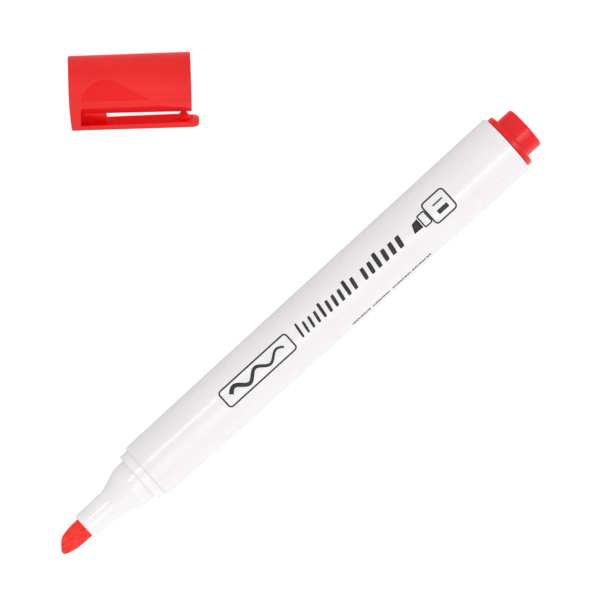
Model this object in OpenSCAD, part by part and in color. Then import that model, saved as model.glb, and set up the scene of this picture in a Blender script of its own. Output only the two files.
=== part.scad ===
// Whiteboard marker lying on a table with its cap off.
// X runs along the marker from the nib to the rear end and Z is up. The origin is the centre of the
// barrel's front edge. The cap lies beside the barrel, rolled over onto the edge of its clip. It is
// drawn in line with the marker, ahead of the nib, and then swung to where it lies.

/* [Barrel] */
// Length of the barrel tube
barrel_length = 113.4; // [100:0.1:125]
// Diameter of the barrel's front edge
barrel_edge_d = 14.4; // [14:0.05:14.6]
// Diameter of the barrel behind its short lead-in
barrel_front_d = 14.65; // [14.6:0.05:15]
// Diameter of the barrel at its rear end
barrel_rear_d = 15.8; // [15:0.05:16.5]
// Diameter of the bore through the barrel
bore_d = 12.4; // [12:0.05:12.6]
// Number of ribs inside the barrel that keep the reservoir centred
rib_count = 4; // [3:1:8]

/* [Nib and holder] */
// Diameter of the ring that the cap's mouth comes up against
ring_d = 13.3; // [13:0.05:14]
// Length of the ring
ring_length = 2.3; // [1.5:0.1:3]
// Diameter of the land that the cap's liner seals on
land_d = 11; // [10.8:0.1:11.2]
// Diameter of the neck behind the nib
neck_d = 7.1; // [6.6:0.1:8]
// Distance from the barrel's front edge to the holder's nose
nose_reach = 19.2; // [17:0.1:21]
// Diameter of the felt nib
nib_d = 5; // [4:0.1:5.4]
// Distance from the holder's nose to the nib's tip
nib_reach = 7.8; // [6.5:0.1:8]

/* [Ink reservoir] */
// Diameter of the fibre core
core_d = 11.2; // [10:0.1:11.4]
// Thickness of the film around the core
film_t = 0.2; // [0.1:0.05:0.3]
// Length of the core
core_length = 92; // [70:1:92]

/* [End plug] */
// Diameter of the plug's flange
flange_d = 14.2; // [13.5:0.1:15]
// Thickness of the flange
flange_t = 1.6; // [1:0.1:2.5]
// Diameter of the knob at the rear end
knob_d = 10.8; // [9:0.1:11.5]
// Length of the knob
knob_length = 4.4; // [3:0.1:6]

/* [Cap] */
// Length of the cap without its clip
cap_length = 28.5; // [28:0.1:30]
// Diameter of the cap's closed end
cap_end_d = 13.5; // [13.4:0.05:13.7]
// Diameter of the cap's mouth
cap_mouth_d = 13.85; // [13.8:0.05:14.2]
// Depth of the sunk panel on the cap's sides
panel_depth = 0.25; // [0.1:0.05:0.35]

/* [Clip] */
// Width of the clip
clip_width = 5.5; // [4.4:0.1:5.8]
// Height of the clip's outer face above the cap's axis
clip_top = 10.45; // [10.3:0.05:11]
// Thickness of the clip at the cap's closed end
clip_t = 1.1; // [1:0.05:1.3]
// How much thicker the clip is at its tip
clip_gain = 0.4; // [0:0.05:0.5]
// Distance from the cap's closed end to the clip's tip
clip_reach = 30.2; // [30:0.1:32]

/* [Lie of the cap] */
// Gap between the nib's tip and the cap's mouth when the cap is swung in line with the marker
line_gap = 9; // [8:0.5:15]
// Angle that the cap is turned from the marker's axis
swing_angle = 40.5; // [30:0.1:41]
// Angle of the clip below the horizontal
clip_roll = 24.5; // [0:0.1:26]

/* [Hidden] */
$fn = 96;

lead_in = 2;
spigot_length = 12;
core_start = 13;
core_end = core_start + core_length;
film_r = core_d / 2 + film_t;
plug_depth = 7.4;
plug_floor_t = 1.5;
plug_start = barrel_length - plug_depth;

rib_w = 0.7;
rib_start = 16;
rib_end = plug_start - 2;
weld = 0.3;

land_length = 2.2;
land_end = -ring_length - land_length;
taper_front = [land_d / 2 - 0.2, -5.8];
neck_back = [neck_d / 2, -10.4];
neck_front_r = neck_d / 2 - 0.13;
cavity_r = 4.5;
cavity_start = -3;
cavity_step = 1.5;
groove_count = 3;
groove_w = 1.6;
groove_depth = 0.5;

nib_tip = -nose_reach - nib_reach;
nib_tail = core_start + 9;
nib_r = nib_d / 2;
nib_bevel = [2, 1.2];
nib_slack = 0.02;

// The chisel tip's slanted cut seen from above: [distance behind the tip, side, rounding]
chisel_plan = [
    [6.6, nib_r + nib_slack],
    [2.1, nib_r - 0.75, 1.5],
    [-0.35, 1.75 - nib_r, 0.8],
    [1.4, 0.55 - nib_r, 3],
    [4.4, -nib_r - nib_slack]
];
// The chisel tip's taper seen from the side: [distance behind the tip, height, rounding]
chisel_side = [
    [6, nib_r + nib_slack],
    [-0.1, nib_r - 1.3, 0.8],
    [-0.1, 1.3 - nib_r, 0.8],
    [6, -nib_r - nib_slack]
];

slide_gap = 0.04;
cap_bore_r = 6;
cap_wall_end = 1.3;
liner_end = cap_length - 0.4;
liner_wall_end = 0.7;
liner_step = 1.6;
liner_r = 4.8;

root_t = 2.7;
panel_centre = [8.4, 2];
panel_r = 5.8;
panel_slope = 30;
panel_end = 25.5;
gusset_t = 1.2;
gusset_foot = 8.4;
flex_c = 9;
clip_under = clip_top - clip_t;
tip_corner_r = 2;
bump_w = 3.2;
bump_top = 7.6;
bump_start = 25.1;
bump_end = 28.6;
bump_rise = 0.8;
bump_fall = 1.2;
bump_foot = 0.6;

// Post that the swing turns about, far to the side of the marker, and its slight lean
swing_post = [98, -111.9, 0];
swing_axis = [0.0052, 0.0073, 1];

function xy(p) = [p.x, p.y];
function unit(v) = v / norm(v);

// Points on an arc, from one angle through a sweep
function arc(centre, r, from, sweep, steps) =
    [for (i = [0:steps]) let (a = from + sweep * i / steps) centre + r * [cos(a), sin(a)]];

// The arc of radius r that rounds the corner p between the corners before and after it
function fillet(before, p, after, r, steps) =
    let (
        u = unit(before - p),
        v = unit(after - p),
        half = acos(u * v) / 2,
        centre = p + unit(u + v) * r / sin(half),
        start = p + u * r / tan(half) - centre,
        stop = p + v * r / tan(half) - centre,
        from = atan2(start.y, start.x),
        sweep = (atan2(stop.y, stop.x) - from + 540) % 360 - 180
    )
    arc(centre, r, from, sweep, steps);

// A closed outline, each corner [x, y] sharp or [x, y, radius] rounded
function outline(corners, steps = 6) =
    let (n = len(corners))
    [for (i = [0:n - 1])
        each len(corners[i]) == 2
            ? [corners[i]]
            : fillet(xy(corners[(i + n - 1) % n]), xy(corners[i]), xy(corners[(i + 1) % n]),
                corners[i][2], steps)];

// Where the tangent from the point [side, height] touches a circle of radius r about the origin
function touch(side, height, r) =
    let (a = atan2(side, height) + acos(r / norm([side, height]))) r * [sin(a), cos(a)];

// A solid turned about the X axis, its corners given as [radius, x] or [radius, x, rounding]
module turned(corners) {
    rotate([0, 90, 0]) rotate_extrude() polygon(outline(corners));
}

// A cylinder along the X axis
module rod(r, from, to) {
    translate([from, 0, 0]) rotate([0, 90, 0]) cylinder(r = r, h = to - from);
}

module barrel() {
    color("white") {
        turned([
            [bore_d / 2, 0],
            [barrel_edge_d / 2, 0, 0.2],
            [barrel_front_d / 2, lead_in],
            [barrel_rear_d / 2, barrel_length, 0.35],
            [bore_d / 2, barrel_length]
        ]);
        for (i = [0:rib_count - 1])
            rotate([360 * i / rib_count, 0, 0])
                translate([rib_start, -rib_w / 2, film_r])
                    cube([rib_end - rib_start, rib_w, bore_d / 2 - film_r + weld]);
    }
}

module nib_holder() {
    color("whitesmoke")
        difference() {
            turned([
                [nib_r, -nose_reach],
                [neck_front_r, -nose_reach, 0.3],
                [neck_back.x, neck_back.y, 6],
                [taper_front.x, taper_front.y, 1],
                [land_d / 2, land_end],
                [land_d / 2, -ring_length],
                [ring_d / 2, -ring_length, 0.15],
                [ring_d / 2, 0],
                [bore_d / 2, 0],
                [bore_d / 2, spigot_length, 0.4],
                [cavity_r, spigot_length],
                [cavity_r, cavity_start],
                [nib_r, cavity_start - cavity_step]
            ]);
            // air grooves along the spigot
            for (i = [0:groove_count - 1])
                rotate([360 * i / groove_count, 0, 0])
                    translate([1, -groove_w / 2, bore_d / 2 - groove_depth])
                        cube([spigot_length, groove_w, 1]);
        }
}

// The nib's rod, from the given place to its tail
module nib_rod(from) {
    turned([
        [0, from],
        [nib_r, from],
        [nib_r, nib_tail - nib_bevel.x],
        [nib_r - nib_bevel.y, nib_tail],
        [0, nib_tail]
    ]);
}

// What a cut of the chisel leaves, seen along Z: its outline carried on past the nib's tail
module chisel_cut(cut) {
    past_tail = nib_tail - nib_tip + 1;
    linear_extrude(2 * nib_d, center = true)
        translate([nib_tip, 0])
            polygon(outline([
                [past_tail, nib_r + nib_slack],
                each cut,
                [past_tail, -nib_r - nib_slack]
            ]));
}

// The felt nib: a rod whose tip is cut to a slanted chisel in plan and tapered from the side
module nib() {
    color("red")
        intersection() {
            nib_rod(nib_tip);
            chisel_cut(chisel_plan);
            rotate([90, 0, 0]) chisel_cut(chisel_side);
        }
}

module ink_reservoir() {
    color("tomato")
        difference() {
            rod(core_d / 2, core_start, core_end);
            nib_rod(core_start - 1);
        }
}

module reservoir_film() {
    color("lavender")
        turned([
            [core_d / 2, core_start],
            [film_r, core_start],
            [film_r, core_end],
            [core_d / 2, core_end]
        ]);
}

module end_plug() {
    flange_end = barrel_length + flange_t;
    color("red")
        turned([
            [0, flange_end - plug_floor_t],
            [cavity_r, flange_end - plug_floor_t],
            [cavity_r, plug_start],
            [bore_d / 2, plug_start, 0.5],
            [bore_d / 2, barrel_length],
            [flange_d / 2 - 0.3, barrel_length],
            [flange_d / 2, barrel_length + 0.35],
            [flange_d / 2, flange_end, 0.45],
            [knob_d / 2, flange_end, 0.2],
            [knob_d / 2, flange_end + knob_length, 0.6],
            [0, flange_end + knob_length]
        ]);
}

// Puts what is drawn in the cap's own frame in line with the marker, ahead of the nib, and swings
// it to where the cap lies. The cap's own X runs from its closed end to its mouth, and its clip is
// on its -Y side.
module lying() {
    mouth_x = nib_tip - line_gap;
    translate(swing_post)
        rotate(a = -swing_angle, v = swing_axis)
            translate([mouth_x - cap_length, 0, 0] - swing_post)
                rotate([clip_roll, 0, 0])
                    children();
}

// An outline in the cap's [length, width], as a plate between two heights above the cap's axis
module plate(low, high) {
    translate([0, -low, 0]) rotate([90, 0, 0]) linear_extrude(high - low) children();
}

// An outline in the cap's [length, height towards the clip], as a plate of the given width
module upright(width) {
    mirror([0, 1, 0]) linear_extrude(width, center = true) children();
}

// The clip's plate: round corners at its tip, and an inner face that closes on the cap
module clip_plate() {
    half = clip_width / 2;
    intersection() {
        plate(clip_under - clip_gain, clip_top)
            polygon(outline([
                [0, -half],
                [clip_reach, -half, tip_corner_r],
                [clip_reach, half, tip_corner_r],
                [0, half]
            ]));
        upright(2 * clip_width)
            polygon([
                [0, clip_under],
                [clip_reach, clip_under - clip_gain],
                [clip_reach, clip_top],
                [0, clip_top]
            ]);
    }
}

// The cap's skin over a side panel: the ring of plastic that the panel is sunk into
module panel() {
    tangent = panel_centre + panel_r * [sin(panel_slope), -cos(panel_slope)];
    reach = panel_end - tangent.x;
    intersection() {
        turned([
            [cap_end_d / 2 - panel_depth, 0],
            [cap_end_d / 2 + 1, 0],
            [cap_mouth_d / 2 + 1, cap_length],
            [cap_mouth_d / 2 - panel_depth, cap_length]
        ]);
        upright(2 * cap_mouth_d)
            polygon([
                [root_t, clip_top],
                each arc(panel_centre, panel_r, 180, 90 + panel_slope, 16),
                tangent + reach * [1, tan(panel_slope)],
                [panel_end, clip_top]
            ]);
    }
}

module cap_shell() {
    difference() {
        turned([
            [0, 0],
            [cap_end_d / 2, 0, 0.45],
            [cap_mouth_d / 2, cap_length, 0.2],
            [cap_bore_r, cap_length],
            [cap_bore_r, cap_wall_end],
            [0, cap_wall_end]
        ]);
        panel();
    }
}

// The block that carries the clip: flat sides run from the cap's round wall to the clip's edges
module clip_root() {
    half = clip_width / 2;
    side = touch(half, clip_top, cap_end_d / 2);
    rotate([90, 0, 90])
        linear_extrude(root_t)
            difference() {
                polygon([
                    [-side.y, -side.x],
                    [-clip_top, -half],
                    [-clip_top, half],
                    [-side.y, side.x],
                    [0, 0]
                ]);
                circle(cap_bore_r + weld);
            }
}

// The thin web that braces the clip against the cap
module gusset() {
    upright(gusset_t)
        polygon([
            [root_t - weld, cap_bore_r + weld],
            [gusset_foot, cap_bore_r + weld],
            [flex_c, clip_under + weld],
            [flex_c, clip_top - weld],
            [root_t - weld, clip_top - weld]
        ]);
}

module cap() {
    color("red")
        lying() {
            cap_shell();
            clip_root();
            gusset();
            intersection() {
                clip_plate();
                translate([0, -clip_top - 1, -clip_width]) cube([flex_c, clip_top, 2 * clip_width]);
            }
        }
}

// The free part of the clip, which bends away from the cap beyond the gusset, and its bump
module clip_arm() {
    color("red")
        lying() {
            intersection() {
                clip_plate();
                translate([flex_c, -clip_top - 1, -clip_width])
                    cube([clip_reach, clip_top, 2 * clip_width]);
            }
            upright(bump_w)
                polygon(outline([
                    [bump_start - bump_foot, clip_under + weld],
                    [bump_start + bump_rise, bump_top, 0.5],
                    [bump_end - bump_fall, bump_top, 0.5],
                    [bump_end, clip_under + weld]
                ], 3));
        }
}

// The soft cup inside the cap that seals on the holder
module cap_liner() {
    seal_end = liner_end - land_length;
    color("mistyrose")
        lying()
            turned([
                [0, cap_wall_end],
                [cap_bore_r, cap_wall_end],
                [cap_bore_r, liner_end],
                [land_d / 2 + slide_gap, liner_end],
                [land_d / 2 + slide_gap, seal_end],
                [liner_r, seal_end - liner_step],
                [liner_r, cap_wall_end + liner_wall_end],
                [0, cap_wall_end + liner_wall_end]
            ]);
}

barrel();
nib_holder();
nib();
ink_reservoir();
reservoir_film();
end_plug();
cap();
clip_arm();
cap_liner();
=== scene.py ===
import math

import bmesh
import bpy
import numpy as np
from mathutils import Matrix, Vector


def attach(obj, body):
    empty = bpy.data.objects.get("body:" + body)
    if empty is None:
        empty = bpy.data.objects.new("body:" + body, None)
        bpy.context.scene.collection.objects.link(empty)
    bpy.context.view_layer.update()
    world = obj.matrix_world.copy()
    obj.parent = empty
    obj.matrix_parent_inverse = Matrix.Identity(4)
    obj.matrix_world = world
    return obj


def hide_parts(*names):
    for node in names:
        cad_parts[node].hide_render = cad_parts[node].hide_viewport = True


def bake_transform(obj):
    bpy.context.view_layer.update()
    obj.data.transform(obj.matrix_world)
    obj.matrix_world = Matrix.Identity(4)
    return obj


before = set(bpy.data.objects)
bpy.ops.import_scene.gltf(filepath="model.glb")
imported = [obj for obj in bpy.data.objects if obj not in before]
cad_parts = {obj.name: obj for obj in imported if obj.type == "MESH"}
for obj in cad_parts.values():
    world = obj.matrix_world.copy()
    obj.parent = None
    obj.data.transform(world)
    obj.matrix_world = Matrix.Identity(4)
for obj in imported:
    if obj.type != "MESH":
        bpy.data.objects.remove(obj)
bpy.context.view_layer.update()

# Up to the stage, lengths are in millimetres in the row frame, and MM turns them into metres.
MM = 0.001
DEG = math.pi / 180
FULL_TURN = 2 * math.pi

# outlines
STRAIGHT = 89.5 * DEG  # half angle above which a corner needs no arc
SIDE_SHARE = 0.48  # most of a side that an arc and its held point may take
SMALL_ARC = 0.05  # radius up to which an arc gets two steps
HOLD = 0.08  # distance of a held point from its arc
SHARP = 0.02  # rounding of a corner that gives none

SAME_PLACE = 1e-7  # size below which a row of points is one pole


# ---------------------------------------------------------------- helpers
def smooth(value, low, high):
    """0 below low, 1 above high, and a smooth step between them."""
    t = np.clip((value - low) / (high - low), 0, 1)
    return t * t * (3 - 2 * t)


def linspace(start, stop, count):
    """Evenly spaced numbers as a list, so that lists can be joined to it."""
    return list(np.linspace(start, stop, count))


def rounded(corners, steps=6, closed=False):
    """An outline [(x, r, rounding)] as points, with arcs at its corners and a held point beside each."""
    points = []
    count = len(corners)
    for i, corner in enumerate(corners):
        here = np.array(corner[:2], float)
        if not closed and i in (0, count - 1):
            points.append(here)
            continue
        before = np.array(corners[i - 1][:2], float)
        after = np.array(corners[(i + 1) % count][:2], float)
        radius = corner[2] if len(corner) > 2 else SHARP
        back, ahead = before - here, after - here
        room_back, room_ahead = np.linalg.norm(back), np.linalg.norm(ahead)
        back, ahead = back / room_back, ahead / room_ahead
        half = math.acos(np.clip(back @ ahead, -1, 1)) / 2
        if half > STRAIGHT:
            points.append(here)
            continue
        reach = radius / math.tan(half)
        limit = SIDE_SHARE * min(room_back, room_ahead)
        if reach > limit:
            reach = limit
            radius = reach * math.tan(half)
        middle = here + (back + ahead) / np.linalg.norm(back + ahead) * radius / math.sin(half)
        first, last = here + back * reach, here + ahead * reach
        if reach + HOLD < SIDE_SHARE * room_back:
            points.append(here + back * (reach + HOLD))
        arc_steps = steps if radius > SMALL_ARC else 2
        a0 = math.atan2(*(first - middle)[::-1])
        sweep = (math.atan2(*(last - middle)[::-1]) - a0 + math.pi) % FULL_TURN - math.pi
        for k in range(arc_steps + 1):
            a = a0 + sweep * k / arc_steps
            points.append(middle + radius * np.array([math.cos(a), math.sin(a)]))
        if reach + HOLD < SIDE_SHARE * room_ahead:
            points.append(here + ahead * (reach + HOLD))
    return points


def spread(points, longest):
    """Adds points so that no step of the outline is longer than the given length."""
    made = [points[0]]
    for a, b in zip(points, points[1:]):
        parts = max(1, math.ceil(np.linalg.norm(b - a) / longest))
        made += [a + (b - a) * k / parts for k in range(1, parts + 1)]
    return made


class Skin:
    """Collects patches of quads and makes one mesh object of them."""

    def __init__(self):
        self.verts = []
        self.faces = []

    def grid(self, rows, close_rows=False):
        """Quads over rows [row, column, xyz], closed across the columns. Returns each row's vertices.

        A row whose points all coincide becomes one pole."""
        rows = np.asarray(rows, float)
        index = []
        for row in rows:
            start = len(self.verts)
            if np.ptp(row, axis=0).max() < SAME_PLACE:
                self.verts.append(row[0])
                index.append([start] * len(row))
            else:
                self.verts.extend(row)
                index.append(list(range(start, start + len(row))))
        n = rows.shape[1]
        pairs = list(zip(index, index[1:])) + ([(index[-1], index[0])] if close_rows else [])
        for low, high in pairs:
            for j in range(n):
                k = (j + 1) % n
                face = []
                for v in (low[j], low[k], high[k], high[j]):
                    if v not in face:
                        face.append(v)
                if len(face) > 2:
                    self.faces.append(face)
        return index

    def face(self, loop):
        """One face over the vertices with the given numbers."""
        self.faces.append(list(loop))

    def prism(self, loops):
        """A closed body: a grid over the loops, with a face on the first and on the last of them."""
        index = self.grid(loops)
        self.face(index[0])
        self.face(index[-1])

    def make(self, name, matrix=None):
        """One mesh object of all patches, placed by the matrix, with its faces turned outwards."""
        points = np.asarray(self.verts, float)
        if matrix is not None:
            points = points @ np.array(matrix)[:3, :3].T + np.array(matrix)[:3, 3]
        mesh = bpy.data.meshes.new(name)
        mesh.from_pydata([tuple(p * MM) for p in points], [], self.faces)
        mesh.validate()
        solid = bmesh.new()
        solid.from_mesh(mesh)
        bmesh.ops.recalc_face_normals(solid, faces=solid.faces)
        solid.to_mesh(mesh)
        solid.free()
        mesh.shade_smooth()
        piece = bpy.data.objects.new(name, mesh)
        bpy.context.scene.collection.objects.link(piece)
        bpy.context.view_layer.objects.active = piece
        return piece


def angles_of(columns):
    """The angles of a full turn in equal steps."""
    return np.arange(columns) * FULL_TURN / columns


def turn(profile, columns):
    """Rows of points of an outline (x, r) turned about the X axis."""
    return np.array([[(x, r * math.cos(a), r * math.sin(a)) for a in angles_of(columns)]
                     for x, r in profile])


# ---------------------------------------------------------------- materials
class Nodes:
    """A small helper for building a material's node tree."""

    def __init__(self, name):
        self.material = bpy.data.materials.new(name)
        self.material.use_nodes = True
        self.tree = self.material.node_tree
        self.shader = self.tree.nodes["Principled BSDF"]
        self.place = self.add("ShaderNodeTexCoord").outputs["Object"]

    def add(self, kind, **settings):
        """A new node with its settings."""
        node = self.tree.nodes.new(kind)
        for key, value in settings.items():
            setattr(node, key, value)
        return node

    def link(self, source, target):
        """Joins an output socket to an input socket."""
        self.tree.links.new(source, target)

    def stretched(self, scale):
        """The object's coordinates scaled, which makes a texture run along one of them."""
        node = self.add("ShaderNodeMapping")
        node.inputs["Scale"].default_value = scale
        self.link(self.place, node.inputs["Vector"])
        return node.outputs["Vector"]

    def noise(self, scale, detail=3.0, roughness=0.55, vector=None, distortion=0.0):
        """Fractal noise from 0 to 1 in the object's coordinates, or in the vector given."""
        node = self.add("ShaderNodeTexNoise")
        node.inputs["Scale"].default_value = scale
        node.inputs["Detail"].default_value = detail
        node.inputs["Roughness"].default_value = roughness
        node.inputs["Distortion"].default_value = distortion
        self.link(vector or self.place, node.inputs["Vector"])
        return node.outputs["Fac"]

    def ramp(self, source, stops):
        """stops is a list of (position, value or colour)."""
        node = self.add("ShaderNodeValToRGB")
        ramp = node.color_ramp
        while len(ramp.elements) < len(stops):
            ramp.elements.new(0.5)
        for element, (position, value) in zip(ramp.elements, stops):
            element.position = position
            colour = value if hasattr(value, "__len__") else (value, value, value)
            element.color = (*colour[:3], 1)
        self.link(source, node.inputs["Fac"])
        return node.outputs["Color"]

    def math(self, operation, a, b):
        """An operation on two sockets or numbers."""
        node = self.add("ShaderNodeMath", operation=operation)
        for socket, value in zip(node.inputs, (a, b)):
            if isinstance(value, (int, float)):
                socket.default_value = value
            else:
                self.link(value, socket)
        return node.outputs[0]

    def bump(self, height, distance, strength, before=None):
        """A normal bumped by the height, on top of the normal before it."""
        node = self.add("ShaderNodeBump")
        node.inputs["Distance"].default_value = distance
        node.inputs["Strength"].default_value = strength
        self.link(height, node.inputs["Height"])
        if before is not None:
            self.link(before, node.inputs["Normal"])
        return node.outputs["Normal"]

    def set(self, **values):
        """Sets the shader's own sockets, named with _ for a space."""
        for key, value in values.items():
            self.shader.inputs[key.replace("_", " ")].default_value = value


def moulded(name, dark, light, rough, grain=0.000012, streak=(900, 900, 900), specular=0.5,
            subsurface=0.0, coat=0.0):
    """Injection-moulded plastic: faint flow clouds, fine skin grain, tiny scuffs in the gloss."""
    m = Nodes(name)
    clouds = m.noise(95, 4, 0.55)
    m.link(m.ramp(clouds, [(0.30, dark), (0.72, light)]), m.shader.inputs["Base Color"])
    scuffs = m.noise(55, 5, 0.7, m.stretched((1.0, 4.5, 4.5)), 0.6)
    m.link(m.ramp(scuffs, [(0.32, rough[0]), (0.74, rough[1])]), m.shader.inputs["Roughness"])
    skin = m.noise(2600, 2, 0.5)
    lines = m.noise(1.0, 3, 0.5, m.stretched(streak))
    normal = m.bump(skin, grain, 0.55)
    normal = m.bump(lines, grain * 1.6, 0.45, normal)
    m.link(normal, m.shader.inputs["Normal"])
    m.set(IOR=1.49, Specular_IOR_Level=specular)
    if subsurface:
        m.set(Subsurface_Weight=subsurface, Subsurface_Radius=(1.0, 0.3, 0.2), Subsurface_Scale=0.0012)
    if coat:
        m.set(Coat_Weight=coat, Coat_Roughness=0.11)
    return m.material


def finish_piece(piece, material, body=None, replaces=()):
    """Gives a piece its material and slot, the body that it rides, and the CAD nodes that it replaces."""
    piece.data.materials.clear()
    piece.data.materials.append(material)
    if body:
        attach(piece, body)
    if replaces:
        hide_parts(*replaces)
    return piece


white_barrel = moulded(
    "barrel plastic", (0.835, 0.806, 0.820), (0.865, 0.838, 0.851), (0.24, 0.36),
    grain=0.000006, streak=(12, 1500, 1500), specular=0.3, subsurface=0.12, coat=0.6)
white_holder = moulded(
    "holder plastic", (0.86, 0.836, 0.842), (0.90, 0.878, 0.884), (0.28, 0.42),
    grain=0.000004, streak=(40, 900, 900), specular=0.3, subsurface=0.18, coat=1.0)
red_plug = moulded(
    "plug plastic", (0.78, 0.005, 0.008), (0.85, 0.007, 0.011), (0.14, 0.24),
    streak=(700, 200, 200), specular=0.3, coat=0.2)
red_cap = moulded(
    "cap plastic", (0.79, 0.007, 0.008), (0.87, 0.011, 0.011), (0.30, 0.43),
    grain=0.000008, specular=0.35)
red_panel = moulded(
    "cap plastic in its panels", (0.78, 0.006, 0.007), (0.84, 0.009, 0.010), (0.30, 0.44), specular=0.2)
# Painted shade: a copy of the cap plastic, redder and almost without gloss, so that the clip's inner face
# looks deep red as if shaded by the cap.
red_shaded_under_clip = moulded(
    "cap plastic with painted shade under the clip", (0.92, 0.002, 0.005), (0.98, 0.004, 0.008), (0.40, 0.52), specular=0.02)
# Painted shade: a darker, less glossy copy of the cap plastic for the flat beside the clip and the clip's
# bump, where the clip and the cap's mouth cast shade.
red_painted_shade = moulded(
    "cap plastic darkened as painted shade", (0.74, 0.005, 0.007), (0.81, 0.007, 0.009), (0.34, 0.48), specular=0.06)
soft_liner = moulded(
    "liner plastic", (0.80, 0.77, 0.76), (0.88, 0.86, 0.85), (0.45, 0.6), subsurface=0.25)


def felt(name, dark, light, along):
    """Bonded fibres that run along the rod: streaks in colour and bump, and no gloss."""
    m = Nodes(name)
    fibre_place = m.stretched(along)
    fibres = m.noise(1.0, 4, 0.65, fibre_place, 0.3)
    blotch = m.noise(420, 3, 0.6)
    mixed = m.math("ADD", m.math("MULTIPLY", fibres, 0.7), m.math("MULTIPLY", blotch, 0.3))
    m.link(m.ramp(mixed, [(0.37, dark), (0.57, light)]), m.shader.inputs["Base Color"])
    m.link(m.ramp(blotch, [(0.3, 0.66), (0.7, 0.88)]), m.shader.inputs["Roughness"])
    fuzz = m.noise(3600, 2, 0.6)
    normal = m.bump(fibres, 0.00010, 0.8)
    normal = m.bump(fuzz, 0.00004, 0.5, normal)
    m.link(normal, m.shader.inputs["Normal"])
    m.set(Sheen_Weight=0.06, Sheen_Roughness=0.4, Subsurface_Weight=0.1,
          Subsurface_Radius=(1.0, 0.2, 0.1), Subsurface_Scale=0.0008, Specular_IOR_Level=0.3)
    return m.material


red_felt = felt("nib felt", (0.70, 0.010, 0.008), (1.00, 0.055, 0.040), (260, 3200, 3200))
ink_felt = felt("reservoir fibre", (0.45, 0.02, 0.02), (0.80, 0.12, 0.10), (120, 2600, 2600))

film = Nodes("reservoir film")
wrinkles = film.noise(1.0, 3, 0.5, film.stretched((60, 700, 700)), 1.2)
film.link(film.ramp(wrinkles, [(0.3, (0.86, 0.80, 0.82)), (0.7, (0.93, 0.90, 0.91))]),
          film.shader.inputs["Base Color"])
film.link(film.ramp(wrinkles, [(0.3, 0.08), (0.7, 0.2)]), film.shader.inputs["Roughness"])
film.link(film.bump(wrinkles, 0.00008, 0.6), film.shader.inputs["Normal"])
film.set(Transmission_Weight=0.5, IOR=1.5)

ink = Nodes("print ink")
mottle = ink.noise(1400, 3, 0.6)
ink.link(ink.ramp(mottle, [(0.3, (0.008, 0.007, 0.008)), (0.75, (0.030, 0.026, 0.027))]),
         ink.shader.inputs["Base Color"])
ink.link(ink.ramp(mottle, [(0.3, 0.42), (0.75, 0.6)]), ink.shader.inputs["Roughness"])
ink.link(ink.bump(mottle, 0.00001, 0.4), ink.shader.inputs["Normal"])

# ---------------------------------------------------------------- marker: barrel, holder, plug
# Outlines are corners (distance along the marker, radius, rounding).
BARREL_LENGTH = 113.4
EDGE_R, FRONT_R, REAR_R, BORE_R = 7.2, 7.325, 7.9, 6.2
LEAD_IN = 2.0
SPIGOT_R, SPIGOT_WALL_R = 6.17, 4.5  # the holder's and the plug's spigots in the bore


def barrel_radius(x):
    """The barrel's outer radius behind its lead-in."""
    return FRONT_R + (REAR_R - FRONT_R) * (x - LEAD_IN) / (BARREL_LENGTH - LEAD_IN)


tube = Skin()
tube.grid(turn(spread(rounded([
    (0, BORE_R), (0, EDGE_R, 0.2), (LEAD_IN, FRONT_R, 2.5), (BARREL_LENGTH, REAR_R, 0.35),
    (BARREL_LENGTH, BORE_R, 0.1)], closed=True), longest=6), columns=192), close_rows=True)
# ribs inside the bore that centre the reservoir, with their backs sunk in the wall
RIBS, RIB_FRONT, RIB_REAR, RIB_TOP_R, RIB_BACK_R, RIB_HALF = 4, 16, 104, 5.8, 6.5, 0.35
for i in range(RIBS):
    c, s = math.cos(FULL_TURN * i / RIBS), math.sin(FULL_TURN * i / RIBS)
    outline = [(RIB_FRONT, RIB_TOP_R), (RIB_REAR, RIB_TOP_R),
               (RIB_REAR, RIB_BACK_R), (RIB_FRONT, RIB_BACK_R)]
    tube.prism([[(x, r * c - z * s, r * s + z * c) for x, r in outline] for z in (-RIB_HALF, RIB_HALF)])
finish_piece(tube.make("barrel_tube"), white_barrel, "marker", ["barrel"])

# air grooves along the holder's spigot: how many, half their width, and their floors' height and start
GROOVES, GROOVE_HALF, GROOVE_FLOOR, GROOVE_START = 3, 0.8, 5.7, 1.0
GROOVE_STEP = 0.02


def grooved(x, y, z):
    """A point of the holder, moved in to the floor of an air groove if it lies over one."""
    apart = FULL_TURN / GROOVES
    off = (math.atan2(z, y) - math.pi / 2 + apart / 2) % apart - apart / 2
    r = math.hypot(y, z)
    if x < GROOVE_START - GROOVE_STEP / 2 or r * abs(math.sin(off)) > GROOVE_HALF:
        return (x, y, z)
    share = min(1, GROOVE_FLOOR / math.cos(off) / r)
    return (x, y * share, z * share)


holder = Skin()
rows = turn(spread(rounded([
    (-19.2, 2.5, 0.05), (-19.2, 3.42, 0.3), (-10.4, 3.55, 6), (-5.8, 5.3, 1), (-4.5, 5.5, 0.25),
    (-2.3, 5.5, 0.08), (-2.3, 6.65, 0.15), (0, 6.65, 0.05), (0, SPIGOT_R, 0.05),
    (GROOVE_START - GROOVE_STEP, SPIGOT_R), (GROOVE_START, SPIGOT_R), (12, SPIGOT_R, 0.4),
    (12, SPIGOT_WALL_R, 0.1), (-3, SPIGOT_WALL_R, 0.3), (-4.5, 2.5, 0.3)],
    steps=10, closed=True), longest=2.5), columns=168)
holder.grid([[grooved(*point) for point in row] for row in rows], close_rows=True)
finish_piece(holder.make("tip_holder"), white_holder, "marker", ["nib_holder"])

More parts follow.
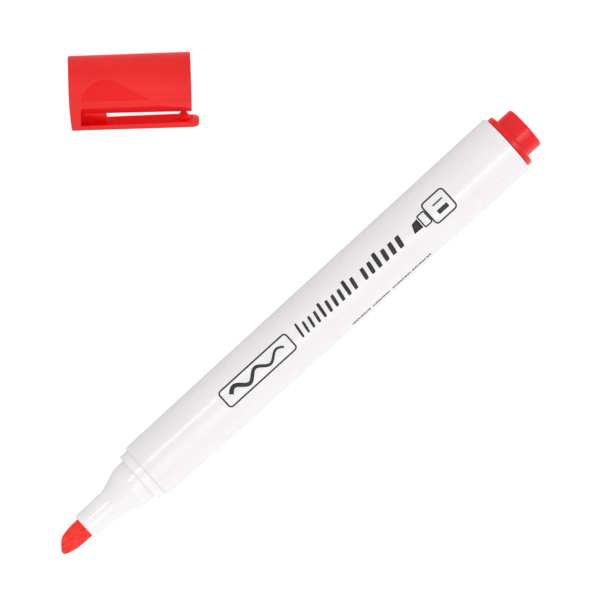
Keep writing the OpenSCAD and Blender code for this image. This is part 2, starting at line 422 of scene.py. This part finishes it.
plug = Skin()
plug.grid(turn(spread(rounded([
    (119.2, 0), (119.2, 0.55, 0.1), (119.4, 0.8, 0.1), (119.4, 5.4, 0.6), (115.0, 5.4, 0.25),
    (115.0, 7.1, 0.45), (113.75, 7.1, 0.15), (BARREL_LENGTH, 6.8, 0.1), (BARREL_LENGTH, SPIGOT_R, 0.05),
    (106, SPIGOT_R, 0.5), (106, SPIGOT_WALL_R, 0.2), (113.5, SPIGOT_WALL_R, 0.3), (113.5, 0)],
    steps=8), longest=2.5), columns=160))
finish_piece(plug.make("rear_plug"), red_plug, "marker", ["end_plug"])

# ---------------------------------------------------------------- nib
NIB_TIP, NIB_R, NIB_TAIL = -27.0, 2.5, 22.0
ROD_R, TAIL_R = 2.49, 1.3  # inside the holder, and at the end in the reservoir
INSIDE = np.array([4, 0])  # a place inside both of the tip's outlines
EDGE_SHARPNESS, SKIN_DEPTH = 9.0, 0.05
RAY_LENGTH, HALVINGS = 9.0, 40


def planes_of(points):
    """Half-planes (normal, offset) along an outline of convex corners, each normal pointing out."""
    made = []
    for a, b in zip(points, points[1:]):
        along = np.array(b, float) - np.array(a, float)
        normal = np.array([-along[1], along[0]]) / np.linalg.norm(along)
        offset = normal @ np.array(a, float)
        outwards = -1 if normal @ INSIDE > offset else 1
        made.append((outwards * normal, outwards * offset))
    return made


# distance behind the tip and side, from the lower side round the tip to the upper one
plan_planes = planes_of([(4.6, -2.62), (1.7, -2.08), (0.2, -1.52), (-0.15, -0.8), (1.35, 1.15),
                         (2.4, 1.95), (5.4, 2.58)])
side_planes = planes_of([(6, -2.5), (-0.1, -1.2), (-0.1, 1.2), (6, 2.5)])


def nib_field(p):
    """Below 0 inside the nib's tip: a rod with a slanted chisel cut and softly worn edges."""
    back, y, z = p[..., 0], p[..., 1], p[..., 2]
    terms = [np.hypot(y, z) - NIB_R]
    terms += [n[0] * back + n[1] * y - d for n, d in plan_planes]
    terms += [n[0] * back + n[1] * z - d for n, d in side_planes]
    stack = np.stack(terms)
    top = stack.max(0)
    return top + np.log(np.exp(EDGE_SHARPNESS * (stack - top)).sum(0)) / EDGE_SHARPNESS - SKIN_DEPTH


def cast(origin, direction):
    """How far a ray goes from inside the nib to its skin, found by halving."""
    low, high = np.zeros(direction.shape[:-1]), np.full(direction.shape[:-1], RAY_LENGTH)
    for _ in range(HALVINGS):
        middle = (low + high) / 2
        inside = nib_field(origin + direction * middle[..., None]) < 0
        low, high = np.where(inside, middle, low), np.where(inside, high, middle)
    return low


nib = Skin()
NIB_COLUMNS, CORE_BACK, CORE_SIDE = 144, 3.4, -0.2
angles = angles_of(NIB_COLUMNS)
rows = []
# the tip, by rays from a core point, and behind it the flanks, by rays from the axis
core = np.array([CORE_BACK, CORE_SIDE, 0.0])
for tilt in np.concatenate([[0], np.linspace(1.5, 90, 60)]) * DEG:
    direction = np.stack([np.full(NIB_COLUMNS, -math.cos(tilt)), math.sin(tilt) * np.cos(angles),
                          math.sin(tilt) * np.sin(angles)], -1)
    reach = cast(core, direction)
    rows.append(core + direction * reach[:, None])
for back in linspace(3.7, 8.2, 16):
    origin = np.array([back, CORE_SIDE * max(0, 1 - (back - CORE_BACK) / 4), 0.0])
    direction = np.stack([np.zeros(NIB_COLUMNS), np.cos(angles), np.sin(angles)], -1)
    rows.append(origin + direction * cast(origin, direction)[:, None])
rows = np.array(rows)
# the felt's skin is slightly uneven
WOBBLE = 0.006
wobble = (np.sin(angles * 23 + 0.7) + np.sin(angles * 37 + 2.1) + np.sin(angles * 61)) / 3
for row in rows[1:]:
    centre_line = row.mean(0)
    row[:, 1:] += (row[:, 1:] - centre_line[1:]) * (WOBBLE * wobble)[:, None]
rows[..., 0] += NIB_TIP
for x, r in [(-18.0, ROD_R), (NIB_TAIL - 2, ROD_R), (NIB_TAIL, TAIL_R), (NIB_TAIL, 0)]:
    rows = np.concatenate([rows, [[(x, r * math.cos(a), r * math.sin(a)) for a in angles]]])
nib.grid(rows)
finish_piece(nib.make("felt_nib"), red_felt, "marker", ["nib"])

# ---------------------------------------------------------------- cap
# In the cap's own frame x runs from the closed end to the mouth, -y is the height towards the clip, and z
# goes across. Angles are from the clip's direction.
CAP_LENGTH, CAP_END_R, CAP_MOUTH_R, CAP_BORE_R = 28.5, 6.75, 6.925, 6.0
ROOT_T, CLIP_HALF, CLIP_TOP, CLIP_UNDER, CLIP_REACH = 2.7, 2.75, 10.45, 9.35, 30.2
FLEX_X = 9.0

# The cap is placed in line with the marker, its mouth ahead of the nib, and swung back about the post.
MOUTH_GAP, SWING, ROLL = 9, 40.5 * DEG, 24.5 * DEG
POST, POST_AXIS = Vector((98, -111.9, 0)), Vector((0.0052, 0.0073, 1)).normalized()
END_PLACE = Vector((NIB_TIP - MOUTH_GAP - CAP_LENGTH, 0, 0))
swing = Matrix.Translation(POST) @ Matrix.Rotation(-SWING, 4, POST_AXIS)
in_line = Matrix.Translation(END_PLACE - POST) @ Matrix.Rotation(ROLL, 4, "X")
CAP = swing @ in_line

# The sunk side panel: a round end, a sloping edge above it, a straight end near the mouth, and its rim.
PANEL = np.array([8.4, 2.0])
PANEL_R, PANEL_SLOPE, PANEL_END, PANEL_RIM = 5.8, 30 * DEG, 25.5, 0.42
PANEL_DEPTH, PANEL_DEEPER, RAMP_DEPTH = 0.25, 0.11, 0.36
# The flat beside the clip starts at one angle, and the ramp from it down into the panel ends at the other.
FACET_LOW, RAIL_TOP = 24 * DEG, 73 * DEG
# The root's block falls away to the round cap past its edge, and its corners are a little soft.
CORNER = math.atan2(CLIP_HALF, CLIP_TOP)
ROOT_EDGE, ROOT_FALL, BODY_START, BLOCK_SOFT = 2.62, 0.5, 2.75, 0.10
END_LEAN, LEAN_DEPTH = 0.46, 2.4


def rail_angle(x):
    """Where the edge between the panel's ramp and the flat beside the clip lies, round the cap."""
    return (56 + 3 * np.clip((x - 6) / 15, 0, 1) - 7 * np.clip((x - 21.3) / 5.7, 0, 1)) * DEG


def panel_inside(x, h):
    """How far a point of the cap's side view lies inside the sunk panel's outline."""
    p = np.array([x, h]) - PANEL
    along = p[0] * math.cos(PANEL_SLOPE) + p[1] * math.sin(PANEL_SLOPE)
    if along > 0:
        inside = PANEL_R - (p[0] * math.sin(PANEL_SLOPE) - p[1] * math.cos(PANEL_SLOPE))
    elif h < PANEL[1]:
        inside = PANEL_R - math.hypot(*p)
    else:
        inside = x - (PANEL[0] - PANEL_R)
    return min(inside, PANEL_END - x)


def cap_radius(x, t):
    """The cap's outer radius at a distance along it and an angle from the clip's direction."""
    a = abs(t)
    plain = CAP_END_R + (CAP_MOUTH_R - CAP_END_R) * x / CAP_LENGTH
    tangent = CORNER + math.acos(plain / math.hypot(CLIP_HALF, CLIP_TOP))
    block = plain
    if a < tangent:
        top, flank = CLIP_TOP / math.cos(a), plain / math.cos(a - tangent)
        d = max(0.0, BLOCK_SOFT - abs(top - flank)) / BLOCK_SOFT
        block = min(top, flank) - d * d * BLOCK_SOFT / 4
    rise = np.clip(1 - (x - ROOT_EDGE) / ROOT_FALL, 0, 1) ** 3
    inside = panel_inside(x, plain * math.cos(a))
    edge = rail_angle(x)
    if a > RAIL_TOP:
        depth = PANEL_DEPTH + PANEL_DEEPER * smooth(105 * DEG - a, 0, 28 * DEG)
        sunk = depth * smooth(inside, 0, PANEL_RIM)
    elif a > edge:
        sunk = RAMP_DEPTH * (a - edge) / (RAIL_TOP - edge) * smooth(inside, 0, PANEL_RIM)
    elif a > FACET_LOW:
        flat = math.cos((edge - FACET_LOW) / 2) / math.cos(a - (edge + FACET_LOW) / 2)
        sunk = plain * (1 - flat) * smooth(CAP_LENGTH - 0.3 - x, 0, 2.2)
    else:
        sunk = 0
    sunk *= smooth(x, ROOT_EDGE, BODY_START)
    return (plain - sunk) * (1 - rise) + block * rise


def half_angles(x):
    """The angles of a row's points from the clip's middle to the far side, close together at edges."""
    edge = rail_angle(x) / DEG
    corner = CORNER / DEG
    parts = [linspace(0, corner - 1.2, 6), linspace(corner - 0.8, corner + 0.8, 5),
             linspace(corner + 1.2, 23.6, 5), [24.0, 24.4], linspace(26, edge - 1.6, 12),
             linspace(edge - 0.6, edge + 0.6, 5), linspace(edge + 1.6, 72.5, 8), [73, 73.5],
             linspace(74.6, 130, 46), linspace(132.5, 177.5, 19), [180]]
    return np.concatenate(parts) * DEG


def end_lean(x, h):
    """How far the cap's closed end leans in on the clip's side, at a height above the cap's axis."""
    share = max(0.0, 1 - x / LEAN_DEPTH)
    return share * END_LEAN * (max(0.0, h) / CLIP_TOP) ** 2


def cap_row(x, inset=0.0, radius=None):
    """A ring of points of the cap's outside, drawn in by the inset, or of a round with the radius given."""
    half = half_angles(min(max(x, 0), CAP_LENGTH))
    around = np.concatenate([half, -half[-2:0:-1]])
    row = []
    for t in around:
        r = (cap_radius(x, t) if radius is None else radius) - inset
        h = r * math.cos(t)
        row.append((x + end_lean(x, h), -h, r * math.sin(t)))
    return row


shell = Skin()
rows = []
outer_end = cap_row(0)
# the closed end from its middle outwards, and its edge
for share in (0, 0.25, 0.5, 0.75, 0.9):
    rows.append([(end_lean(0, -y * share), y * share, z * share) for _, y, z in outer_end])
END_EDGE = 0.4
for a in linspace(0, math.pi / 2, 7):
    inset = END_EDGE * (1 - math.sin(a))
    back = END_EDGE * (1 - math.cos(a))
    rows.append([(back + end_lean(back, -y), y, z) for _, y, z in cap_row(END_EDGE, inset)])
# the outside, with close rows where the root's block falls away
xs = linspace(0.48, 2.55, 9) + [2.60, 2.63, 2.66, 2.70, 2.75, 2.80, 2.87, 2.95, 3.04, 3.12]
xs += linspace(3.25, 26.4, 155) + linspace(26.7, 28.2, 6)
rows += [cap_row(x) for x in xs]
# the mouth's outer edge, then over its face, down the bore and across the bore's end
MOUTH_EDGE, MOUTH_STEPS = 0.2, 5
for k in range(1, MOUTH_STEPS + 1):
    a = k / MOUTH_STEPS * math.pi / 2
    rows.append([(CAP_LENGTH - MOUTH_EDGE + MOUTH_EDGE * math.sin(a), y, z)
                 for _, y, z in cap_row(CAP_LENGTH, MOUTH_EDGE * (1 - math.cos(a)))])
for x, r in [(CAP_LENGTH, 6.3), (28.47, 6.1), (28.4, 6.02), (28.3, CAP_BORE_R), (20, CAP_BORE_R),
             (10, CAP_BORE_R), (2, CAP_BORE_R), (1.5, 5.96), (1.34, 5.8), (1.3, 5.6), (1.3, 3), (1.3, 0)]:
    rows.append(cap_row(x, radius=r))
shell.grid(rows)

# the web that braces the clip against the cap: its outline in side view, and places across it with how far
# the outline is drawn in there
WEB_MIDDLE = 5.5
web = rounded([(8.4, 6.2), (FLEX_X, 9.6), (FLEX_X, 10.1), (2.5, 10.1), (2.5, 6.2)], steps=3, closed=True)
web_edges = [(-0.6, 0.12), (-0.57, 0.04), (-0.5, 0), (0.5, 0), (0.57, 0.04), (0.6, 0.12)]
shell.prism([[(x - inset * np.sign(x - WEB_MIDDLE), -h, z) for x, h in web] for z, inset in web_edges])
cap_body = finish_piece(shell.make("cap_body", CAP), red_cap, "cap", ["cap"])


def second_finish(piece, material, chosen):
    """Gives the material to the faces that are chosen by their centre in the cap's own frame."""
    piece.data.materials.append(material)
    index = len(piece.data.materials) - 1
    back = CAP.inverted()
    for polygon in piece.data.polygons:
        if chosen(back @ (polygon.center / MM)):
            polygon.material_index = index


SKIN_FROM_R, SKIN_TO_R = 6.25, 7.1


def on_skin(centre):
    """Radius and angle of a place on the cap's outer skin between its root and mouth, or None."""
    r, a = math.hypot(centre.y, centre.z), math.atan2(abs(centre.z), -centre.y)
    if SKIN_FROM_R < r < SKIN_TO_R and ROOT_T + 0.1 < centre.x < CAP_LENGTH - 0.4:
        return r, a
    return None


def in_panel(centre):
    """Whether a face of the cap lies on the floor of a sunk panel."""
    place = on_skin(centre)
    if place is None:
        return False
    r, a = place
    return a > RAIL_TOP and panel_inside(centre.x, r * math.cos(a)) > PANEL_RIM - 0.02


def beside_clip(centre):
    """Whether a face of the cap lies between the clip and the rail's edge."""
    place = on_skin(centre)
    return place is not None and place[1] < rail_angle(centre.x)


second_finish(cap_body, red_panel, in_panel)
# The flat between the clip and the rail's edge gets the painted shade.
second_finish(cap_body, red_painted_shade, beside_clip)

# ---------------------------------------------------------------- clip
CLIP_GAIN, CLIP_CORNER = 0.4, 2.0
UPPER_EDGE, INNER_EDGE = 0.22, 0.18
BUMP_TOP, BUMP_HALF, BUMP_SIDE = 7.6, 1.2, 0.3
BUMP_RISE, BUMP_FALL = (24.8, 26.3), (26.9, 28.4)
FACE_END, FACE_ARCH, TIP_DISH, DISH_LENGTH = 28.9, 2.2, 0.3, 1.4
# places across the inner face from its side to near its middle, close together at the bump's side
INNER = linspace(2.5, BUMP_HALF + 0.36, 7) + linspace(BUMP_HALF + 0.28, BUMP_HALF - 0.28, 8)
INNER += linspace(BUMP_HALF - 0.36, 0.2, 5)


def clip_width_at(x):
    """Half the clip's width, which is rounded at the tip's corners."""
    over = max(0.0, x - (CLIP_REACH - CLIP_CORNER))
    return CLIP_HALF - CLIP_CORNER + math.sqrt(max(0.0, CLIP_CORNER ** 2 - over ** 2))


def clip_face(x):
    """Height of the clip's plain inner face, which closes on the cap towards the tip."""
    return CLIP_UNDER - CLIP_GAIN * x / CLIP_REACH


def face_end(f):
    """Where the clip's inner face gives way to its dished tip, in an arch across the width."""
    return FACE_END - FACE_ARCH * (f / CLIP_HALF) ** 2


def clip_inner(x, f):
    """Height of the clip's inner face with the bump that grips and the dished tip."""
    face = clip_face(x)
    share = smooth(x, *BUMP_RISE) * (1 - smooth(x, *BUMP_FALL))
    share *= 1 - smooth(abs(f), BUMP_HALF - BUMP_SIDE, BUMP_HALF + BUMP_SIDE)
    dish = TIP_DISH * smooth(x - face_end(f), 0, DISH_LENGTH)
    return face + dish - (face - BUMP_TOP) * share


def clip_row(x, lower=0.0, narrow=0.0, pinch=0.0):
    """The clip's section, with its top lowered, its sides drawn in and its inner face pinched outwards."""
    w = clip_width_at(x) - narrow
    top = CLIP_TOP - lower
    base = clip_inner(x, CLIP_HALF) + pinch
    thick = top - base
    r, low_r = min(UPPER_EDGE, w * 0.4, thick * 0.45), min(INNER_EDGE, thick * 0.35)
    quarter = np.linspace(0, math.pi / 2, 6)
    half = [(0, top), (w * 0.4, top), (w - r - 0.1, top)]
    half += [(w - r + r * math.sin(a), top - r + r * math.cos(a)) for a in quarter]
    half += [(w, (top - r + base + low_r) / 2)]
    half += [(w - low_r * (1 - math.cos(a)), base + low_r * (1 - math.sin(a))) for a in quarter]
    fit = (w - low_r) / (CLIP_HALF - INNER_EDGE)
    half += [(f * fit, clip_inner(x, f) + pinch) for f in INNER]
    half += [(0, clip_inner(x, 0) + pinch)]
    around = half + [(-z, h) for z, h in half[-2:0:-1]]
    return [(x, -h, z) for z, h in around]


clip = Skin()
# it starts inside the root's block, a little smaller than the block
rows = [clip_row(2.40, 0.06, 0.05), clip_row(2.58, 0.03, 0.02), clip_row(2.63)]
xs = [2.7, 2.8, 3.0] + linspace(3.5, 24, 42) + linspace(24.3, 29.2, 60) + linspace(29.3, 29.75, 5)
rows += [clip_row(x) for x in xs]
TIP_EDGE = 0.4
for a in np.linspace(0.12, math.pi / 2, 8):
    d = TIP_EDGE * (1 - math.cos(a))
    rows.append(clip_row(CLIP_REACH - TIP_EDGE + TIP_EDGE * math.sin(a), d, d * 0.4, d))
clip.prism(rows)
cap_clip = finish_piece(clip.make("cap_clip", CAP), red_cap, None, ["clip_arm"])


def under_clip(centre):
    """Whether a face of the clip belongs to its inner face, short of the dished tip."""
    return ROOT_T < centre.x < face_end(centre.z) and -centre.y < clip_face(centre.x) + 0.05


def on_bump(centre):
    """Whether a face of the clip stands out from its inner face."""
    return 24 < centre.x < 29 and -centre.y < clip_face(centre.x) - 0.04


# The clip's inner face gets the painted shade under the clip.
second_finish(cap_clip, red_shaded_under_clip, under_clip)
# The clip's bump gets the painted shade as well.
second_finish(cap_clip, red_painted_shade, on_bump)


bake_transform(cap_clip)

# ---------------------------------------------------------------- liner
liner = Skin()
liner.grid(turn(spread(rounded([
    (1.32, 0), (1.32, 5.97, 0.3), (28.1, 5.97, 0.05), (28.1, 5.54, 0.1), (25.9, 5.54, 0.3),
    (24.3, 4.8, 0.4), (2.0, 4.8, 0.8), (2.0, 0)], steps=5), longest=4), columns=128))
finish_piece(liner.make("cap_seal", CAP), soft_liner, "cap", ["cap_liner"])

# ---------------------------------------------------------------- reservoir and film keep their CAD shape
for node, material in (("ink_reservoir", ink_felt), ("reservoir_film", film.material)):
    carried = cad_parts[node]
    carried.data.materials.clear()
    carried.data.materials.append(material)

# ---------------------------------------------------------------- print
# Places of the print are (distance along the marker, across). Across is the arc from the barrel's top.
PROUD, SUNK = 0.02, 0.05
STEP_ALONG, STEP_ACROSS, LINE_STEP = 0.6, 0.35, 0.5  # the most between points of a bar, and of a line


def on_barrel(x, across, proud):
    """A point of the print on the barrel, or a little above it. Across counts towards +Y."""
    r = barrel_radius(x)
    a = across / r
    return (x, (r + proud) * math.sin(a), (r + proud) * math.cos(a))


class Print(Skin):
    """Collects the slabs of ink of the print."""

    def patch(self, grid, closed=False):
        """A thin slab on the barrel over a grid of places. A closed one joins its end to its start."""
        grid = np.asarray(grid, float)
        m, n = grid.shape[:2]
        layers = []
        for proud in (PROUD, -SUNK):
            start = len(self.verts)
            self.verts.extend(on_barrel(x, a, proud) for row in grid for x, a in row)
            layers.append(np.arange(start, start + m * n).reshape(m, n))
        top, low = layers
        for i in range(m if closed else m - 1):
            k = (i + 1) % m
            for layer in layers:
                for j in range(n - 1):
                    self.face([layer[i, j], layer[i, j + 1], layer[k, j + 1], layer[k, j]])
            for j in (0, n - 1):
                self.face([top[i, j], top[k, j], low[k, j], low[i, j]])
        open_ends = () if closed else (0, m - 1)
        for i in open_ends:
            for j in range(n - 1):
                self.face([top[i, j], top[i, j + 1], low[i, j + 1], low[i, j]])

    def bar(self, x0, x1, a0, a1, lean=0.0, round_by=0.0):
        """A filled bar, leaning along x by the given amount from its lower to its upper side."""
        nx = max(2, math.ceil((x1 - x0) / STEP_ALONG) + 1)
        na = max(3, math.ceil((a1 - a0) / STEP_ACROSS) + 1)
        grid = []
        for u in np.linspace(0, 1, nx):
            row = []
            for v in np.linspace(0, 1, na):
                pull = round_by * (abs(2 * v - 1) ** 4)
                x = x0 + pull + (x1 - x0 - 2 * pull) * u
                row.append((x + lean * (v - 0.5), a0 + (a1 - a0) * v))
            grid.append(row)
        self.patch(grid)

    def stroke(self, points, widths, closed=False):
        """A line of changing width through points (x, across)."""
        points = np.asarray(points, float)
        widths = np.broadcast_to(widths, len(points))
        if closed:
            tangent = np.roll(points, -1, axis=0) - np.roll(points, 1, axis=0)
        else:
            tangent = np.gradient(points, axis=0)
        tangent /= np.linalg.norm(tangent, axis=1)[:, None]
        normal = np.stack([-tangent[:, 1], tangent[:, 0]], 1)
        self.patch([[p + n * w * (v - 0.5) for v in (0, 0.33, 0.67, 1)]
                    for p, n, w in zip(points, normal, widths)], closed)

    def loop(self, corners, width):
        """A closed line through corners (x, across, rounding)."""
        points = rounded(corners, steps=5, closed=True)
        self.stroke(spread(points + [points[0]], LINE_STEP)[:-1], width, closed=True)


marks = Print()
# a board with a wavy line drawn on it
marks.loop([(24.4, -2.3, 0.8), (45.2, -2.3, 0.8), (45.2, 2.3, 0.8), (24.4, 2.3, 0.8)], 0.40)
WAVE_POINTS, HALF_WAVES = 90, 5
wave = [(26.6 + 16.4 * u, 1.05 * math.sin(u * HALF_WAVES * math.pi) * (1 - 0.25 * u))
        for u in np.linspace(0, 1, WAVE_POINTS)]
marks.stroke(wave, np.linspace(1.1, 0.5, WAVE_POINTS))
# two groups of upright strokes, thin to thick
STROKES, TALL_EVERY, LAST_OF_GROUP, STROKE_GAP, GROUP_GAP, STROKE_FOOT = 16, 4, 9, 1.06, 1.2, -1.45
x = 47.9
for i in range(STROKES):
    thick = 0.6 + 0.043 * i
    tall = 2.9 if i % TALL_EVERY else 3.7
    marks.bar(x, x + thick, STROKE_FOOT, STROKE_FOOT + tall, lean=0.5, round_by=0.08)
    x += thick + STROKE_GAP + (GROUP_GAP if i == LAST_OF_GROUP else 0)
# a plain sign for a marker: a wedge, a collar and a rounded box with a thin and a thick line in it
marks.patch([[(83.0 + 0.9 * v, -1.1 + 2.1 * v) for v in np.linspace(0, 1, 8)],
             [(85.6, -1.25 + 2.5 * v) for v in np.linspace(0, 1, 8)]])
marks.loop([(86.0, -1.6, 0.24), (88.0, -1.6, 0.24), (88.0, 1.6, 0.24), (86.0, 1.6, 0.24)], 0.36)
marks.loop([(88.4, -3.0, 0.9), (94.8, -3.0, 0.9), (94.8, 3.0, 0.9), (88.4, 3.0, 0.9)], 0.40)
marks.bar(90.4, 93.4, 0.8, 1.15)
marks.bar(90.4, 93.4, -1.6, -0.5)
# a line of very small dashes low on the side
DASHES, DASHES_AND_GAP, DASH_GAP, DASH_LOW, DASH_HIGH = 44, 11, 0.14, -9.0, -8.35
x = 58.5
for i in range(DASHES):
    wide = 0.22 + 0.14 * ((i * 7) % 4)
    if i % DASHES_AND_GAP != DASHES_AND_GAP - 1:
        marks.bar(x, x + wide, DASH_LOW, DASH_HIGH)
    x += wide + DASH_GAP
finish_piece(marks.make("print_marks"), ink.material, "marker")

# ---------------------------------------------------------------- stage, in metres from here on
FLOOR_Z, FLOOR_HALF = -7.99 * MM, 4.0
mesh = bpy.data.meshes.new("floor")
floor_corners = ((-1, -1), (1, -1), (1, 1), (-1, 1))
mesh.from_pydata([(x * FLOOR_HALF, y * FLOOR_HALF, FLOOR_Z) for x, y in floor_corners], [], [(0, 1, 2, 3)])
floor = bpy.data.objects.new("floor", mesh)
bpy.context.scene.collection.objects.link(floor)
paper = Nodes("pale floor")
fine = paper.noise(60, 3)
paper.link(paper.ramp(fine, [(0.3, (0.17, 0.17, 0.17)), (0.7, (0.19, 0.19, 0.19))]),
           paper.shader.inputs["Base Color"])
paper.set(Roughness=0.9, Specular_IOR_Level=0.1, Emission_Color=(1, 1, 1, 1), Emission_Strength=0.90)
mesh.materials.append(paper.material)
floor.visible_glossy = False

world = bpy.data.worlds.new("studio")
bpy.context.scene.world = world
world.use_nodes = True
# The room is a little brighter on the key light's side. Below the horizon only gloss sees it, and there
# it stands for the table: bright on the key's side, and in the marker's own shade on the other.
KEY_SIDE = (0.20, -0.98, 0)
room = world.node_tree
background = room.nodes["Background"]
background.inputs["Color"].default_value = (1, 1, 1, 1)
direction = room.nodes.new("ShaderNodeTexCoord").outputs["Generated"]


def room_node(kind, source, values, **settings):
    """A node of the room's light, fed by the source, with the values for its numbered sockets."""
    node = room.nodes.new(kind)
    for key, value in settings.items():
        setattr(node, key, value)
    for socket, value in values.items():
        node.inputs[socket].default_value = value
    room.links.new(source, node.inputs[0])
    return node


dot = room_node("ShaderNodeVectorMath", direction, {1: KEY_SIDE}, operation="DOT_PRODUCT")
towards_key = dot.outputs["Value"]
# each map goes from the range in sockets 1 and 2 to the one in sockets 3 and 4, or to 0 and 1
above = room_node("ShaderNodeMapRange", towards_key, {1: -1, 2: 1, 3: 0.77, 4: 0.86}).outputs[0]
below = room_node("ShaderNodeMapRange", towards_key, {1: -0.6, 2: 0.6, 3: 0.42, 4: 1.0}).outputs[0]
height = room_node("ShaderNodeSeparateXYZ", direction, {}).outputs["Z"]
over = room_node("ShaderNodeMapRange", height, {1: -0.04, 2: 0.04}).outputs[0]
mix = room_node("ShaderNodeMix", over, {})
room.links.new(below, mix.inputs["A"])
room.links.new(above, mix.inputs["B"])
room.links.new(mix.outputs["Result"], background.inputs["Strength"])


def softbox(name, place, aim, width, height, power):
    """A white rectangular area light at a place, aimed at another."""
    light = bpy.data.lights.new(name, "AREA")
    light.shape = "RECTANGLE"
    light.size, light.size_y = width, height
    light.energy = power
    lamp = bpy.data.objects.new(name, light)
    bpy.context.scene.collection.objects.link(lamp)
    lamp.location = place
    lamp.rotation_mode = "QUATERNION"
    lamp.rotation_quaternion = (Vector(aim) - Vector(place)).to_track_quat("-Z", "Y")


CENTRE = Vector((0.0533, 0.0055, 0))
softbox("key", (0.15, -0.50, 1.10), CENTRE, width=1.2, height=0.7, power=2.9)
softbox("low", (-0.55, -0.66, 0.50), CENTRE, width=1.0, height=0.06, power=0.6)
# two narrow lights that draw the bright lines along the barrel's front and rear halves
softbox("strip front", (-0.03, 0.425, 0.92), (-0.03, 0, 0), width=0.16, height=0.18, power=0.46)
softbox("strip rear", (0.150, -0.352, 0.95), (0.095, 0, 0), width=0.095, height=0.13, power=0.15)

# The camera looks down from over the marker's front end. The marker runs up to the right.
CAMERA_PLACE = Vector((-0.005, 0.0055, 1.75))
MARKER_TILT = 42.24 * DEG
FRAME_WIDTH = 0.1395
view_axis = (CAMERA_PLACE - CENTRE).normalized()
right = Vector((math.cos(MARKER_TILT), -math.sin(MARKER_TILT), 0))
right = (right - view_axis * right.dot(view_axis)).normalized()
up = view_axis.cross(right)
camera = bpy.data.cameras.new("camera")
camera.sensor_width = 36
camera.lens = camera.sensor_width * (CAMERA_PLACE - CENTRE).length / FRAME_WIDTH
camera.clip_end = 10
viewer = bpy.data.objects.new("camera", camera)
bpy.context.scene.collection.objects.link(viewer)
viewer.location = CAMERA_PLACE
viewer.rotation_euler = Matrix((right, up, view_axis)).transposed().to_euler()
bpy.context.scene.camera = viewer
bpy.context.scene.view_settings.view_transform = "Standard"
